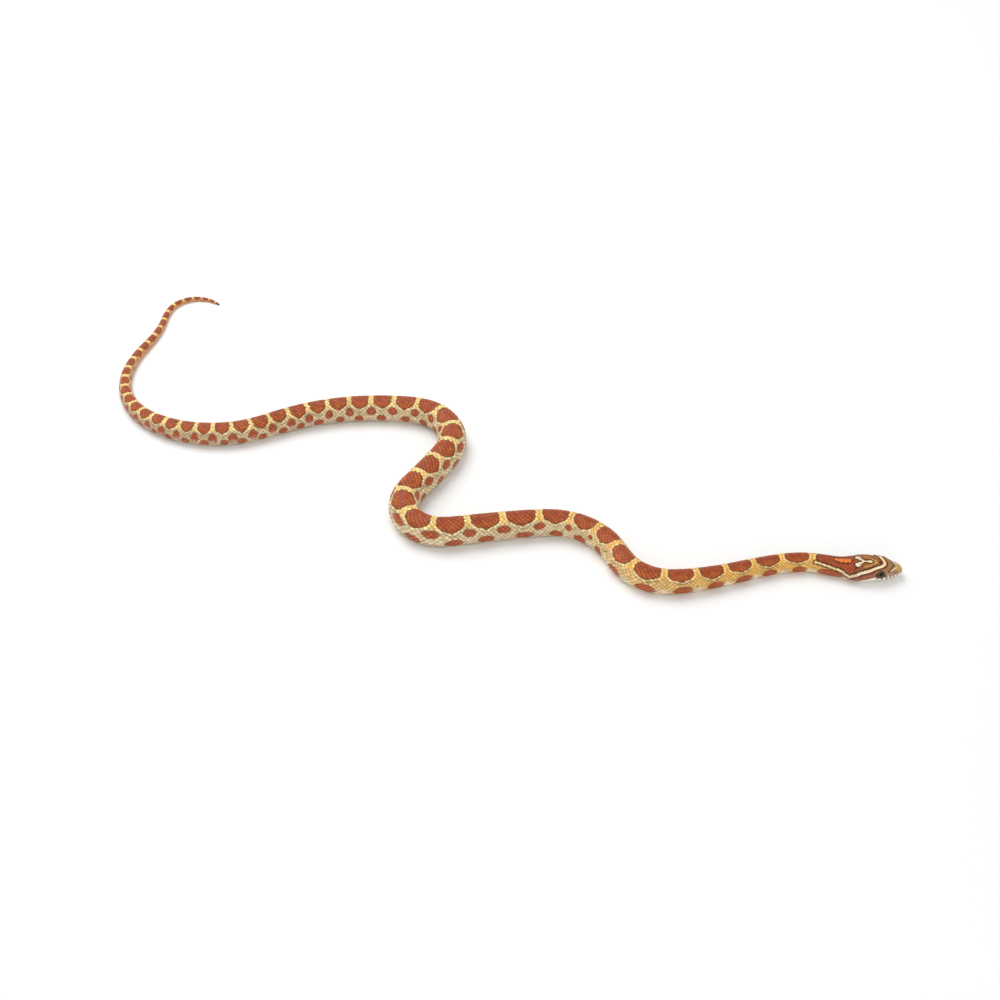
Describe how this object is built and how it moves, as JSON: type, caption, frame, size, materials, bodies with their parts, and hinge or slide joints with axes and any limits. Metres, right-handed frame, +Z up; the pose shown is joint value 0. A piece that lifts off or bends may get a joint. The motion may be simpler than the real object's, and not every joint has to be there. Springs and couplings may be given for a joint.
{
  "type": "corn snake",
  "caption": "Life-size young corn snake lying in loose bends on a flat surface, head low, tail tip curled; still display model.",
  "frame": {"origin": "centre of the bounding box at the surface the snake lies on", "axes": "+X towards the snout's end of the pose, +Y towards the tail tip's side, +Z up from the floor"},
  "size_m": [0.3835, 0.2248, 0.0133],
  "materials": {
    "skin_head": "satin horn plates, olive tan with orange and cream bands",
    "skin_body": "satin scales, brick red saddles edged dark on a yellow orange to tan ground",
    "skin_tail": "satin scales, small red brown saddles on tan",
    "skin_jaw": "satin cream plates with dark sutures",
    "eye": "wet gloss, dark olive brown iris and round black pupil"
  },
  "bodies": {
    "root": {"head": "skin_head", "lower_jaw": "skin_jaw", "eye_left": "eye", "eye_right": "eye", "neck": "skin_body", "trunk_1": "skin_body", "trunk_2": "skin_body", "trunk_3": "skin_body", "trunk_4": "skin_body", "trunk_5": "skin_body", "trunk_6": "skin_body", "trunk_7": "skin_body", "trunk_8": "skin_body", "trunk_9": "skin_body", "trunk_10": "skin_body", "tail_1": "skin_tail", "tail_2": "skin_tail"}
  },
  "joints": []
}
